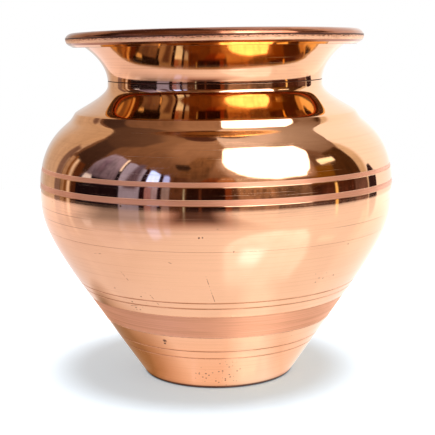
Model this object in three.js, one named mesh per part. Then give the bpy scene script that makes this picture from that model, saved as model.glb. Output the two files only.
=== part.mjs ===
// Copper lota: a water pot of spun sheet, brazed together from a lower bowl, an upper bowl and a flared neck.
// Millimetres, +Z up. The pot stands on z = 0 and is round about the Z axis.
import * as THREE from 'three';

// Sheet, and the number of facets round the pot
const bodySheet = 0.8;
const discSheet = 1.0;
const facets = 48;

// Heights, each measured from the one before it, the first from the floor
const bellyHeight = 66;
const shoulderRise = 24;
const ridgeRise = 2.2;
const coveRise = 9.2;
const neckStraight = 1.6;
const collarRise = 16.8;

// Outside radii, and how far the shoulder and the rim stand out past the neck
const footRadius = 26.1;
const bellyRadius = 61.3;
const neckRadius = 37.1;
const coveReach = 11.5;
const ridgeStep = 1.45;
const rimReach = 14.1;

// Curves: an end's lean from straight up in degrees, and its pull as a share of the distance between the ends
const wallLean = 33.75;
const wallPull = 0.704;
const bellyPullBelow = 0.214;
const bellyPullAbove = 0.664;
const shoulderLean = -36;
const shoulderPull = 0.113;
const coveLean = -50;
const covePull = 0.17;
const waistPull = 0.231;
const seatPull = 0.136;
const flareLean = 55;
const flarePull = 0.6;
const rollPull = 0.4;
const bellySteps = 9;
const coveSteps = 6;
const flareSteps = 8;
const rollSteps = 2;

// Foot: a flat ring turned in under the straight lower wall
const wallRise = 29.5;
const footCorner = 1.8;
const footRingWidth = 6.2;
const cornerSteps = 3;

// Joints: the gap that filler fills, the lap of the two bowls, and the neck's spigot in the upper bowl
const brazeGap = 0.1;
const seamDrop = 12.5;
const lapDepth = 3;
const joggleRise = 1.5;
const spigotDepth = 2;
const filletSize = 1.2;

// Rolled rim and the wire inside it
const wireRadius = 1.6;
const wireSides = 12;
const wireClearance = 0.15;
const beadSlack = 0.3;
const flareInset = 1;
const flareTuck = 0.5;
const curlGap = 0.9;
const beadSteps = 12;

// Turned lines at heights above the floor, and satin bands, each from a height to a height
const lineHeights = [12.9, 15.8, 33.1, 35.2];
const lineWidth = 0.5;
const lineDepth = 0.2;
const lineFlank = 0.15;
const mattBand = [21.4, 29.9];
const bandsAboveBelly = [[1.65, 3.6], [7.2, 8.75]];
const bandDepth = 0.08;
const bandFlank = 0.1;

// Heights and radii that follow from those
const seamHeight = bellyHeight - seamDrop;
const shoulderHeight = bellyHeight + shoulderRise;
const ridgeHeight = shoulderHeight + ridgeRise;
const waistHeight = ridgeHeight + coveRise;
const mouthHeight = waistHeight + neckStraight;
const rimHeight = mouthHeight + collarRise;
const ridgeRadius = neckRadius + coveReach;
const rimRadius = neckRadius + rimReach;
const hollowHalfHeight = wireRadius + wireClearance;
const hollowHalfWidth = hollowHalfHeight + beadSlack;
const beadCentre = point(rimRadius - bodySheet - hollowHalfWidth, rimHeight - bodySheet - hollowHalfHeight);
const flareEnd = point(
  beadCentre.x - hollowHalfWidth - flareInset,
  beadCentre.y - hollowHalfHeight - bodySheet + flareTuck,
);

const copper = { color: '#e9a47c', roughness: 0.12, metalness: 1 };
const plateCopper = { color: '#d8936d', roughness: 0.35, metalness: 1 };
const wireCopper = { color: '#c07c58', roughness: 0.4, metalness: 1 };
const brazeMetal = { color: '#d6b184', roughness: 0.45, metalness: 1 };

// Points of an outline are Vector2: x is the distance from the axis and y is the height.
function point(radius, height) {
  return new THREE.Vector2(radius, height);
}

// The point a length away from another, in a direction leaning outwards from straight up by so many degrees.
function towards(start, lean, length) {
  const angle = THREE.MathUtils.degToRad(lean);
  return point(start.x + length * Math.sin(angle), start.y + length * Math.cos(angle));
}

// Points along a cubic curve that leaves its start and reaches its end along two leans.
function sweep(start, startLean, startPull, end, endLean, endPull, steps) {
  const reach = start.distanceTo(end);
  const leaving = towards(start, startLean, startPull * reach);
  const arriving = towards(end, endLean, -endPull * reach);
  return new THREE.CubicBezierCurve(start, leaving, arriving, end).getPoints(steps);
}

// Points along an arc of an ellipse, from one angle to another in radians.
function arc(centre, halfWidth, halfHeight, from, to, steps) {
  return Array.from({ length: steps + 1 }, (_, i) => {
    const angle = from + ((to - from) * i) / steps;
    return point(centre.x + halfWidth * Math.cos(angle), centre.y + halfHeight * Math.sin(angle));
  });
}

// Joins stretches of outline and leaves out a point that repeats the one before it.
function joined(...stretches) {
  const near = 0.02;
  return stretches.flat().filter((p, i, all) => i === 0 || p.distanceTo(all[i - 1]) > near);
}

// A face moved to its left by a distance, with mitred corners. For a rising face, left is towards the axis.
function offset(face, distance) {
  const normals = face.slice(1).map((p, i) => {
    const along = p.clone().sub(face[i]).normalize();
    return point(-along.y, along.x);
  });
  return face.map((p, i) => {
    const before = normals[Math.max(i - 1, 0)];
    const after = normals[Math.min(i, normals.length - 1)];
    const mitre = before.clone().add(after).divideScalar(1 + before.dot(after));
    return p.clone().addScaledVector(mitre, distance);
  });
}

// The point of a rising face at a height.
function pointAt(face, height) {
  const spans = (p, k) => k > 0 && face[k - 1].y < p.y && face[k - 1].y <= height && height <= p.y;
  const i = face.findIndex(spans);
  const share = (height - face[i - 1].y) / (face[i].y - face[i - 1].y);
  return face[i - 1].clone().lerp(face[i], share).setY(height);
}

// The stretch of a rising face between two heights.
function stretch(face, low, high) {
  const margin = 0.1;
  const inside = face.filter((p) => p.y > low + margin && p.y < high - margin);
  const start = Number.isFinite(low) ? [pointAt(face, low)] : [];
  const end = Number.isFinite(high) ? [pointAt(face, high)] : [];
  return [...start, ...inside, ...end];
}

// A face with a shallow flat-bottomed cut turned into it between two heights.
function turned(face, low, high, depth, flank) {
  return [
    ...stretch(face, -Infinity, low),
    ...stretch(offset(face, depth), low + flank, high - flank),
    ...stretch(face, high, Infinity),
  ];
}

// A piece made by turning a closed outline about the axis. The outline runs anticlockwise.
function turnedPiece(name, outline, finish) {
  const geometry = new THREE.LatheGeometry([...outline, outline[0]], facets);
  geometry.rotateX(Math.PI / 2);
  const mesh = new THREE.Mesh(geometry, new THREE.MeshStandardMaterial(finish));
  mesh.name = name;
  return mesh;
}

// The foot: the flat ring under the pot and the round corner that runs smoothly into the straight wall.
function footFace() {
  const lean = THREE.MathUtils.degToRad(wallLean);
  const turn = Math.PI / 2 - lean;
  const rise = footCorner * (1 - Math.cos(turn));
  const ringEdge = footRadius + rise * Math.tan(lean) - footCorner * Math.sin(turn);
  const centre = point(ringEdge, footCorner);
  const corner = arc(centre, footCorner, footCorner, -Math.PI / 2, turn - Math.PI / 2, cornerSteps);
  return [point(ringEdge - footRingWidth, 0), ...corner];
}

// The outside of the two bowls as one plain face, from the foot ring to the mouth that carries the neck.
function bodyFace() {
  const lean = THREE.MathUtils.degToRad(wallLean);
  const wallTop = point(footRadius + wallRise * Math.tan(lean), wallRise);
  const belly = point(bellyRadius, bellyHeight);
  const shoulder = point(ridgeRadius + ridgeStep, shoulderHeight);
  const ridge = point(ridgeRadius, ridgeHeight);
  const waist = point(neckRadius, waistHeight);
  const lowerBelly = sweep(wallTop, wallLean, wallPull, belly, 0, bellyPullBelow, bellySteps);
  const upperBelly = sweep(belly, 0, bellyPullAbove, shoulder, shoulderLean, shoulderPull, bellySteps);
  const cove = sweep(ridge, coveLean, covePull, waist, 0, waistPull, coveSteps);
  return joined(footFace(), lowerBelly, upperBelly, cove, [point(neckRadius, mouthHeight)]);
}

// The same face with its turned lines and satin bands.
function finishedFace(face) {
  const halfLine = lineWidth / 2;
  const lines = lineHeights.map((z) => [z - halfLine, z + halfLine, lineDepth, lineFlank]);
  const bellyBands = bandsAboveBelly.map((band) => band.map((rise) => bellyHeight + rise));
  const bands = [mattBand, ...bellyBands].map(([low, high]) => [low, high, bandDepth, bandFlank]);
  return [...lines, ...bands].reduce((current, cut) => turned(current, ...cut), face);
}

const plainFace = bodyFace();
const outerFace = finishedFace(plainFace);
const innerFace = offset(plainFace, bodySheet);
const lapOuterFace = offset(plainFace, bodySheet + brazeGap);
const lapInnerFace = offset(plainFace, 2 * bodySheet + brazeGap);
const lapFoot = seamHeight - lapDepth;
const spigotRadius = neckRadius - bodySheet - brazeGap;
const spigotFoot = mouthHeight - spigotDepth;
const discRadius = footFace()[1].x - brazeGap;
const discTop = bodySheet + discSheet;

function lowerBowl() {
  const outside = stretch(outerFace, -Infinity, seamHeight);
  const inside = stretch(innerFace, -Infinity, seamHeight);
  return turnedPiece('lower_bowl', [...outside, ...inside.reverse()], copper);
}

// The upper bowl stands on the lower bowl's edge, and its lip is joggled in to lie inside the lower bowl.
function upperBowl() {
  const lipOutside = stretch(lapOuterFace, lapFoot, seamHeight);
  const outside = stretch(outerFace, seamHeight, mouthHeight);
  const inside = stretch(innerFace, seamHeight + 2 * joggleRise, mouthHeight);
  const lipInside = stretch(lapInnerFace, lapFoot, seamHeight + joggleRise);
  const outline = [...lipOutside, ...outside, ...inside.reverse(), ...lipInside.reverse()];
  return turnedPiece('upper_bowl', outline, copper);
}

// The hollow side of the rolled rim: over the wire from its inner side, then under it to the curled edge.
function beadFace() {
  const roll = arc(beadCentre, hollowHalfWidth, hollowHalfHeight, Math.PI, -Math.PI / 2, beadSteps);
  return [...roll, point(flareEnd.x + curlGap, beadCentre.y - hollowHalfHeight)];
}

// The neck's spigot goes down inside the bowl's mouth, its step rests there, and its flare runs to the rim.
function neckCollar() {
  const seat = point(neckRadius, mouthHeight);
  const rollStart = point(beadCentre.x - hollowHalfWidth, beadCentre.y);
  const spigot = [point(spigotRadius, spigotFoot), point(spigotRadius, mouthHeight)];
  const flare = sweep(seat, 0, seatPull, flareEnd, flareLean, flarePull, flareSteps);
  const roll = sweep(flareEnd, flareLean, rollPull, rollStart, 0, rollPull, rollSteps);
  const outside = joined(spigot, flare, roll, beadFace());
  const inside = offset(outside, bodySheet);
  return turnedPiece('neck_collar', [...outside, ...inside.reverse()], copper);
}

function rimWire() {
  const section = arc(beadCentre, wireRadius, wireRadius, 0, 2 * Math.PI, wireSides);
  return turnedPiece('rim_wire', section.slice(1), wireCopper);
}

// The bottom plate lies on the foot ring, inside the pot.
function baseDisc() {
  const underside = [point(0, bodySheet), point(discRadius, bodySheet)];
  const topside = [point(discRadius, discTop), point(0, discTop)];
  return turnedPiece('base_disc', [...underside, ...topside], plateCopper);
}

// A fillet of filler hangs in the corner under an edge that lies inside a wall.
function hangingFillet(name, edgeRadius, edgeHeight) {
  const wall = stretch(lapOuterFace, edgeHeight - filletSize, edgeHeight);
  return turnedPiece(name, [...wall, point(edgeRadius, edgeHeight)], brazeMetal);
}

function neckBraze() {
  return hangingFillet('neck_braze', spigotRadius - bodySheet, spigotFoot);
}

function bellyBraze() {
  return hangingFillet('belly_braze', pointAt(lapInnerFace, lapFoot).x, lapFoot);
}

// The base's fillet lies on the plate's edge, in the corner with the wall.
function baseBraze() {
  const wall = stretch(lapOuterFace, discTop, discTop + filletSize);
  return turnedPiece('base_braze', [point(discRadius - filletSize, discTop), ...wall], brazeMetal);
}

const lota = new THREE.Group();
lota.add(lowerBowl(), upperBowl(), neckCollar(), rimWire());
lota.add(baseDisc(), neckBraze(), bellyBraze(), baseBraze());

export default lota;
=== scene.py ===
"""The looks of a water pot of spun copper sheet, and the plain studio that it stands in.

Metres, +Z up. The pot stands on z = 0 and is round about the Z axis, so every piece is a profile turned about
it.
"""

import math

import bpy
import numpy as np
from mathutils import Matrix


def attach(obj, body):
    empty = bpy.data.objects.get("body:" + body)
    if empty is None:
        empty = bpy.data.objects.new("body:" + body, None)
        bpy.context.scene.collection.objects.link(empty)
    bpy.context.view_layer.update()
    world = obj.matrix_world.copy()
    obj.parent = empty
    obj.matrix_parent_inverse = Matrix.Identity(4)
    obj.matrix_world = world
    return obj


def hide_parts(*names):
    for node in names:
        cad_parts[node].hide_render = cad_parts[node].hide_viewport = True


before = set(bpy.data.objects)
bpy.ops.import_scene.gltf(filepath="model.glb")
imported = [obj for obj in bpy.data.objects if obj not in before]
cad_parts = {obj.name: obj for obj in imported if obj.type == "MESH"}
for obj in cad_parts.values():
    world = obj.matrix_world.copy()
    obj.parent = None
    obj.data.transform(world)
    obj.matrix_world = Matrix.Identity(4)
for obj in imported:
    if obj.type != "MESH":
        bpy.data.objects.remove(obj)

bl_info = {
    "name": "Spun Copper Water Pot",
    "version": (1, 0, 0),
    "blender": (4, 5, 0),
    "location": "3D Viewport > Sidebar > Water Pot",
    "description": "Makes a polished copper water pot piece by piece, and a plain studio round it",
    "category": "Add Mesh",
}

MM = 0.001
# Steps around a piece
AROUND = 256

# The finishes of a piece of sheet, which are the places of its materials. The dark groove finish also
# stands for a painted contact shade along the bottom of the foot.
BUFFED, BAND, RAW, EDGE, GROOVE_AND_FOOT_SHADE, LINE, BROWNED, FACE, MATT = range(9)


def length(name, millimetres, description):
    """A property for a length, whose default is given in millimetres."""
    return bpy.props.FloatProperty(
        name=name, description=description, default=millimetres * MM, unit="LENGTH", precision=5
    )


def lean(name, degrees, description):
    """A property for an angle from straight up, outwards, whose default is given in degrees."""
    return bpy.props.FloatProperty(
        name=name, description=description, default=math.radians(degrees), subtype="ANGLE"
    )


def share(name, value, description):
    """A property for a plain number, such as a curve's pull or a roughness."""
    return bpy.props.FloatProperty(name=name, description=description, default=value, subtype="FACTOR")


def linear(colour):
    """The linear red, green and blue of an sRGB colour such as #C87533."""
    parts = np.array([int(colour[i : i + 2], 16) for i in (1, 3, 5)]) / 255
    return tuple(np.where(parts <= 0.04045, parts / 12.92, ((parts + 0.055) / 1.055) ** 2.4).tolist())


def tint(name, colour, description):
    """A property for a colour, whose default is given as an sRGB hex value."""
    return bpy.props.FloatVectorProperty(
        name=name, description=description, default=linear(colour), subtype="COLOR", size=3, min=0, max=1
    )


class PotSizes(bpy.types.PropertyGroup):
    """The sizes of the pot's sheet, profile, joints and turned work."""

    body_sheet: length("Sheet", 0.8, "Thickness of the sheet of the bowls and the neck")
    disc_sheet: length("Base plate", 1.0, "Thickness of the plate in the foot")
    belly_height: length("Belly height", 66, "Height of the widest place")
    shoulder_rise: length("Shoulder rise", 24, "Height of the shoulder's end above the belly")
    ridge_rise: length("Ridge rise", 2.2, "Height of the ridge above the shoulder")
    cove_rise: length("Cove rise", 9.2, "Height of the waist above the ridge")
    neck_straight: length("Neck straight", 1.6, "Height of the straight part of the bowl's mouth")
    collar_rise: length("Collar rise", 16.8, "Height of the rim above the mouth")
    foot_radius: length("Foot radius", 26.1, "Radius at which the wall would meet the floor")
    belly_radius: length("Belly radius", 61.3, "Radius at the widest place")
    neck_radius: length("Neck radius", 37.1, "Radius of the waist")
    cove_reach: length("Cove reach", 11.5, "How far the ridge stands out past the neck")
    ridge_step: length("Ridge step", 1.45, "How far the shoulder's end stands out past the ridge")
    rim_reach: length("Rim reach", 14.1, "How far the rim stands out past the neck")
    wall_rise: length("Wall rise", 29.5, "Height of the straight lower wall")
    foot_corner: length("Foot corner", 1.8, "Radius of the corner under the wall")
    foot_ring_width: length("Foot ring", 6.2, "Width of the flat ring turned in under the pot")
    braze_gap: length("Joint gap", 0.1, "Gap that filler metal fills")
    seam_drop: length("Seam drop", 12.5, "How far below the widest place the two bowls meet")
    lap_depth: length("Lap depth", 3, "How far the upper bowl reaches down inside the lower one")
    joggle_rise: length("Joggle rise", 1.5, "Height over which the lap is stepped in")
    spigot_depth: length("Spigot depth", 2, "How far the neck reaches down inside the mouth")
    fillet_size: length("Fillet size", 1.2, "Width of the fillets of filler metal")
    wire_radius: length("Wire radius", 1.6, "Radius of the wire in the rolled rim")
    wire_clearance: length("Wire clearance", 0.15, "Gap between the wire and the sheet rolled over it")
    bead_slack: length("Bead slack", 0.3, "How much wider than high the rolled rim's hollow is")
    flare_inset: length("Flare inset", 1, "How far inside the rolled rim the flare ends")
    flare_tuck: length("Flare tuck", 0.5, "How far above the rolled rim's underside the flare ends")
    curl_gap: length("Curl gap", 0.9, "Gap between the flare and the curled edge")
    line_width: length("Line width", 0.42, "Width of a turned line")
    line_depth: length("Line depth", 0.08, "Depth of a turned line")
    line_flank: length("Line flank", 0.12, "Width of a turned line's slope")
    band_depth: length("Band depth", 0.08, "Depth of a satin band")
    band_flank: length("Band flank", 0.1, "Width of the slope at a satin band's edge")
    corner_ease: length("Eased corner", 0.05, "How much buffing takes off a corner")
    joint_ease: length("Eased joint", 0.2, "How much buffing takes off the edges where neck and bowl meet")
    ridge_ease: length("Eased ridge", 0.28, "How much buffing takes off the ridge")
    ridge_reach: length("Ridge hollow", 2.9, "Height of the hollow that runs up to the ridge")
    notch_drop: length("Rim notch", 2.15, "How far below the rim's top its notch is")
    notch_depth: length("Notch depth", 0.14, "Depth of the notch round the rim")
    rough_drop: length("Rim face", 3.7, "How far below the rim's top its burnished face ends")
    rough_step: length("Rim face step", 0.5, "How far the burnished face leans in at its foot")
    stain_drop: length("Rim stain", 4.4, "How far below the rim's top the brown stain under its face ends")
    stain_step: length("Rim stain step", 1.25, "How far the rim leans in at the stain's foot")
    under_drop: length("Rim underside", 5.06, "How far below the rim's top its smooth underside ends")
    under_step: length("Rim underside step", 2.4, "How far the underside runs in")
    wall_lean: lean("Wall lean", 33.75, "Lean of the straight lower wall")
    shoulder_lean: lean("Shoulder lean", -36, "Lean at the shoulder's end")
    cove_lean: lean("Cove lean", -50, "Lean of the cove where it leaves the ridge")
    ridge_lean: lean("Ridge lean", -33.5, "Lean of the shoulder where it runs up to the ridge")
    flare_lean: lean("Flare lean", 55, "Lean of the flare where it meets the rolled rim")
    wall_pull: share("Wall pull", 0.704, "Pull of the lower belly's curve at the wall")
    belly_pull_below: share("Belly pull below", 0.214, "Pull of the lower belly's curve at the belly")
    belly_pull_above: share("Belly pull above", 0.664, "Pull of the upper belly's curve at the belly")
    shoulder_pull: share("Shoulder pull", 0.113, "Pull of the upper belly's curve at the shoulder")
    cove_pull: share("Cove pull", 0.17, "Pull of the cove's curve at the ridge")
    waist_pull: share("Waist pull", 0.231, "Pull of the cove's curve at the waist")
    seat_pull: share("Seat pull", 0.136, "Pull of the flare's curve at the mouth")
    flare_pull: share("Flare pull", 0.6, "Pull of the flare's curve at the rim")
    roll_pull: share("Roll pull", 0.4, "Pull of the curve from the flare into the rolled rim")


class PotColours(bpy.types.PropertyGroup):
    """The colours of the pot's metals, as a mirror-like piece of each would show a white card."""

    polished: tint("Polished copper", "#FAC6A0", "Buffed sheet of the bowls")
    neck: tint("Neck copper", "#FAC098", "Buffed sheet of the neck, a little redder")
    satin: tint("Satin copper", "#FEBF99", "Copper turned to a satin band")
    belly_band: tint("Belly band copper", "#F8AE8C", "Copper of the narrow bands above the belly")
    inside: tint("Inside copper", "#E8A988", "Copper sheet as spun, not buffed")
    plate: tint("Plate copper", "#D99A78", "Rolled copper plate")
    wire: tint("Wire copper", "#C88A68", "Drawn copper wire")
    filler: tint("Filler metal", "#DDBB8C", "Pale brazing filler")
    tarnish: tint("Tarnish", "#A5623C", "Copper gone brown in corners and lines")
    # The groove colour is also used as a painted contact shade along the bottom of the foot.
    groove: tint("Groove", "#4E2414", "Old polish and tarnish left in joints and scratches")
    browned: tint("Browned copper", "#AE7660", "Copper of the rim, browned by hands")
    line: tint("Line", "#D8956C", "Copper in the turned lines, a little browned")
    pit: tint("Pit", "#3A1D12", "Dirt in small pits")


class StudioSettings(bpy.types.PropertyGroup):
    """The camera, the table and the lights."""

    camera_reach: length("Camera distance", 376.56, "Distance from the axis to the camera, along the floor")
    camera_height: length("Camera height", 116.82, "Height of the camera above the floor")
    camera_side: length("Camera side", 0.32, "How far the camera stands to the right of the pot's axis")
    camera_tilt: lean("Camera tilt", 9.4256, "How far the camera looks down")
    camera_roll: lean("Camera roll", 0.6618, "How far the camera leans to its left")
    lens: share("Lens", 89.07, "Focal length in millimetres")
    table_radius: length("Table radius", 500, "Radius of the round white table")
    room_radius: length("Room radius", 1500, "Distance of the room's walls from the pot")
    fill: share("Fill light", 0.4, "Strength of the even light from all sides, where 1 is white")
    lamp: share("Lamp", 4.6, "Strength of the soft lamp over the table")
    lamp_spread: lean("Lamp spread", 36, "How wide the lamp looks from the table")
    lamp_front: lean("Lamp to the front", 3, "How far to the front of straight above the lamp stands")
    lamp_right: lean("Lamp to the right", 5, "How far to the right of straight above the lamp stands")
    table: tint("Table", "#F4F4F4", "White table top")


# Profiles


def point(radius, height):
    """A point of a profile: its distance from the axis and its height."""
    return np.array([radius, height], float)


def towards(start, angle, reach):
    """start + reach (sin angle, cos angle): the point that lies at an angle from straight up, outwards."""
    return start + reach * np.array([math.sin(angle), math.cos(angle)])


def sweep(start, start_lean, start_pull, end, end_lean, end_pull, steps):
    """Points of the cubic (1-t)^3 A + 3(1-t)^2 t B + 3(1-t) t^2 C + t^3 D for t from 0 to 1, which leaves A
    and reaches D along two leans, with B and C a pull away from them times the distance from A to D."""
    reach = np.linalg.norm(end - start)
    leaving = towards(start, start_lean, start_pull * reach)
    arriving = towards(end, end_lean, -end_pull * reach)
    t = np.linspace(0, 1, steps + 1)[:, None]
    return (1 - t) ** 3 * start + 3 * (1 - t) ** 2 * t * leaving + 3 * (1 - t) * t**2 * arriving + t**3 * end


def arc(centre, half_width, half_height, first, last, steps):
    """Points centre + (half_width cos a, half_height sin a) for angles a from first to last."""
    a = np.linspace(first, last, steps + 1)
    return centre + np.stack([half_width * np.cos(a), half_height * np.sin(a)], 1)


# Points of a profile that are nearer than this are one
SAME_PLACE = 0.02 * MM


def joined(*stretches):
    """The stretches of a profile in one array, without the points that repeat the one before them."""
    points = np.vstack(stretches)
    steps = np.linalg.norm(np.diff(points, axis=0), axis=1)
    return points[np.r_[True, steps > SAME_PLACE]]


def offset(face, distance):
    """A face moved to its left by a distance: each point goes along (n + m) / (1 + n . m), where n and m are
    the left normals before and after it. For a rising face, left is towards the axis."""
    along = np.diff(face, axis=0)
    along /= np.linalg.norm(along, axis=1)[:, None]
    left = np.stack([-along[:, 1], along[:, 0]], 1)
    before, after = np.vstack([left[:1], left]), np.vstack([left, left[-1:]])
    mitre = (before + after) / (1 + (before * after).sum(1))[:, None]
    return face + distance * mitre


def point_at(face, height):
    """The point of a rising face at a height, on the straight line between its neighbours."""
    return point(np.interp(height, face[:, 1], face[:, 0]), height)


# Points of a face that are nearer than this to the end of a stretch of it are left out.
NEAR_END = 0.06 * MM


def stretch(face, low, high):
    """The stretch of a rising face between two heights."""
    inside = face[(face[:, 1] > low + NEAR_END) & (face[:, 1] < high - NEAR_END)]
    start = [point_at(face, low)] if math.isfinite(low) else []
    end = [point_at(face, high)] if math.isfinite(high) else []
    return np.vstack([*start, inside, *end])


def turned(face, low, high, depth, flank):
    """A face with a shallow flat-bottomed cut turned into it between two heights."""
    below, above = stretch(face, -math.inf, low), stretch(face, high, math.inf)
    return np.vstack([below, stretch(offset(face, depth), low + flank, high - flank), above])


def sizes():
    """The pot's sizes, as they are set in the scene."""
    return bpy.context.scene.pot_sizes


def colours():
    """The metals' colours, as they are set in the scene."""
    return bpy.context.scene.pot_colours


def studio():
    """The camera's, the table's and the lights' settings in the scene."""
    return bpy.context.scene.pot_studio


def shoulder_height(s):
    """The height of the shoulder's end, where the ridge starts."""
    return s.belly_height + s.shoulder_rise


def mouth_height(s):
    """The height of the bowl's mouth, where the neck stands."""
    return shoulder_height(s) + s.ridge_rise + s.cove_rise + s.neck_straight


def seam_height(s):
    """The height at which the two bowls meet."""
    return s.belly_height - s.seam_drop


CORNER_STEPS = 12


def foot_face(s):
    """The flat ring under the pot and the round corner that runs smoothly into the straight wall."""
    turn = math.pi / 2 - s.wall_lean
    rise = s.foot_corner * (1 - math.cos(turn))
    edge = s.foot_radius + rise * math.tan(s.wall_lean) - s.foot_corner * math.sin(turn)
    centre = point(edge, s.foot_corner)
    corner = arc(centre, s.foot_corner, s.foot_corner, -math.pi / 2, turn - math.pi / 2, CORNER_STEPS)
    return np.vstack([point(edge - s.foot_ring_width, 0), corner])


BELLY_STEPS, HOLLOW_STEPS, COVE_STEPS = 60, 14, 30
# The pull at both ends of a curve that runs evenly
EVEN_PULL = 0.33


def body_face(s):
    """The outside of the two bowls as one plain face, from the foot ring to the mouth that carries the
    neck."""
    wall_top = point(s.foot_radius + s.wall_rise * math.tan(s.wall_lean), s.wall_rise)
    belly = point(s.belly_radius, s.belly_height)
    ridge_radius = s.neck_radius + s.cove_reach
    shoulder = point(ridge_radius + s.ridge_step, shoulder_height(s))
    ridge = point(ridge_radius, shoulder_height(s) + s.ridge_rise)
    waist = point(s.neck_radius, ridge[1] + s.cove_rise)
    lower = sweep(wall_top, s.wall_lean, s.wall_pull, belly, 0, s.belly_pull_below, BELLY_STEPS)
    upper = sweep(belly, 0, s.belly_pull_above, shoulder, s.shoulder_lean, s.shoulder_pull, BELLY_STEPS)
    upper = upper[upper[:, 1] < ridge[1] - s.ridge_reach]
    end_lean = math.atan2(*(upper[-1] - upper[-2]))
    hollow = sweep(upper[-1], end_lean, EVEN_PULL, ridge, s.ridge_lean, EVEN_PULL, HOLLOW_STEPS)
    cove = sweep(ridge, s.cove_lean, s.cove_pull, waist, 0, s.waist_pull, COVE_STEPS)
    return joined(foot_face(s), lower, upper, hollow, cove, point(s.neck_radius, mouth_height(s))[None])


# Turned lines at heights in mm, and satin bands from a height to a height, the upper ones above the belly
TURNED_LINES = (12.9, 15.8, 33.1, 35.2)
MATT_BAND = (21.4, 29.9)
BANDS_ABOVE_BELLY = ((1.65, 3.6), (7.2, 8.75))
# Up to this height the foot gets the dark groove finish: a painted contact shade where it meets the table.
SHADED_FOOT_EDGE_TOP = 0.85 * MM


def satin_bands(s):
    """The lowest and highest point of each satin band."""
    belly = s.belly_height
    belly_bands = [(belly + low * MM, belly + high * MM) for low, high in BANDS_ABOVE_BELLY]
    return [(MATT_BAND[0] * MM, MATT_BAND[1] * MM), *belly_bands]


def finished_face(s):
    """The body's face with its turned lines and satin bands."""
    face = body_face(s)
    for height in TURNED_LINES:
        half = s.line_width / 2
        face = turned(face, height * MM - half, height * MM + half, s.line_depth, s.line_flank)
    for low, high in satin_bands(s):
        face = turned(face, low, high, s.band_depth, s.band_flank)
    return face


# A corner is sharp where the outline turns by more than this.
SHARP_TURN = math.radians(13)


def eased(outline, ease):
    """A closed outline with its sharp corners cut back: its points, their normals and the places that they
    come from.

    A corner C between the directions u and v becomes C - e u and C + e v, with the normals of its two sides.
    Any other point keeps its place, and its normal is that of its two sides, each weighted by the other one's
    length."""
    before, after = outline - np.roll(outline, 1, 0), np.roll(outline, -1, 0) - outline
    reach_in, reach_out = np.linalg.norm(before, axis=1), np.linalg.norm(after, axis=1)
    u, v = before / reach_in[:, None], after / reach_out[:, None]
    sharp = (u * v).sum(1) < math.cos(SHARP_TURN)
    cut = np.minimum(ease, 0.3 * np.minimum(reach_in, reach_out))
    pick = np.repeat(np.arange(len(outline)), np.where(sharp, 2, 1))
    second = np.r_[False, pick[1:] == pick[:-1]]
    first = sharp[pick] & ~second
    on, back = np.where(second, cut[pick], 0)[:, None], np.where(first, cut[pick], 0)[:, None]
    shift = on * v[pick] - back * u[pick]
    side_in, side_out = np.stack([u[:, 1], -u[:, 0]], 1), np.stack([v[:, 1], -v[:, 0]], 1)
    smooth = side_in * reach_out[:, None] + side_out * reach_in[:, None]
    normal = np.where(first[:, None], side_in[pick], np.where(second[:, None], side_out[pick], smooth[pick]))
    source = np.where(first, (pick - 1) % len(outline), pick)
    return outline[pick] + shift, normal / np.linalg.norm(normal, axis=1)[:, None], pick, source


def chamfered(outline, finish, corner, size):
    """An outline and its finish with one corner cut off, a size along each of its sides. The cut is
    tarnished."""
    k = np.argmin(np.linalg.norm(outline - corner, axis=1))
    sides = np.stack([outline[k - 1], outline[(k + 1) % len(outline)]]) - outline[k]
    cut = outline[k] + size * sides / np.linalg.norm(sides, axis=1)[:, None]
    return np.vstack([outline[:k], cut, outline[k + 1 :]]), np.insert(finish, k, GROOVE_AND_FOOT_SHADE)


# Meshes


def fill_mesh(name, vertices, quads, normals, finish, materials):
    """A mesh object of quads, with a normal for each vertex and a material for each face."""
    mesh = bpy.data.meshes.new(name)
    mesh.vertices.add(len(vertices))
    mesh.vertices.foreach_set("co", vertices.astype(np.float32).ravel())
    mesh.loops.add(quads.size)
    mesh.loops.foreach_set("vertex_index", quads.astype(np.int32).ravel())
    mesh.polygons.add(len(quads))
    mesh.polygons.foreach_set("loop_start", np.arange(0, quads.size, 4, dtype=np.int32))
    mesh.polygons.foreach_set("material_index", finish.astype(np.int32))
    mesh.polygons.foreach_set("use_smooth", np.ones(len(quads), bool))
    for material in materials:
        mesh.materials.append(material)
    mesh.update(calc_edges=True)
    if mesh.validate():
        raise RuntimeError(f"the mesh of {name} has faults")
    mesh.normals_split_custom_set_from_vertices(normals.tolist())
    piece = bpy.data.objects.new(name, mesh)
    bpy.context.scene.collection.objects.link(piece)
    return piece


def grid_quads(up, across, closed_up, closed_across):
    """The faces of a grid of up times across points, each from (i, j) by (i, j + 1) and (i + 1, j + 1) to (i
    + 1, j). The grid may close on itself, upwards or across."""
    rows, columns = np.arange(up - (not closed_up)), np.arange(across - (not closed_across))
    i, j = np.meshgrid(rows, columns, indexing="ij")
    next_i, next_j = (i + 1) % up, (j + 1) % across
    corners = [i * across + j, i * across + next_j, next_i * across + next_j, next_i * across + j]
    return np.stack(corners, -1).reshape(-1, 4)


# The order of a face's corners that turns it round
TURNED_ROUND = [0, 3, 2, 1]


def wavering(turn):
    """0.5 sin(2a + 1) + 0.3 sin(5a) + 0.2 sin(11a + 2) + 0.25 sin(23a): a waver round the pot."""
    broad = 0.5 * np.sin(2 * turn + 1) + 0.3 * np.sin(5 * turn)
    return broad + 0.2 * np.sin(11 * turn + 2) + 0.25 * np.sin(23 * turn)


def rim_lift(turn, height):
    """How far the hand-rolled rim stands off its even height: t^2 (-0.06 + 0.31 cos a - 0.3 sin a - 0.26 cos
    2a) mm, where t goes from 0 at the mouth to 1 at the rim."""
    s = sizes()
    t = np.clip((height - mouth_height(s)) / s.collar_rise, 0, 1)
    return t**2 * (-0.06 + 0.31 * np.cos(turn) - 0.3 * np.sin(turn) - 0.26 * np.cos(2 * turn)) * MM


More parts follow.
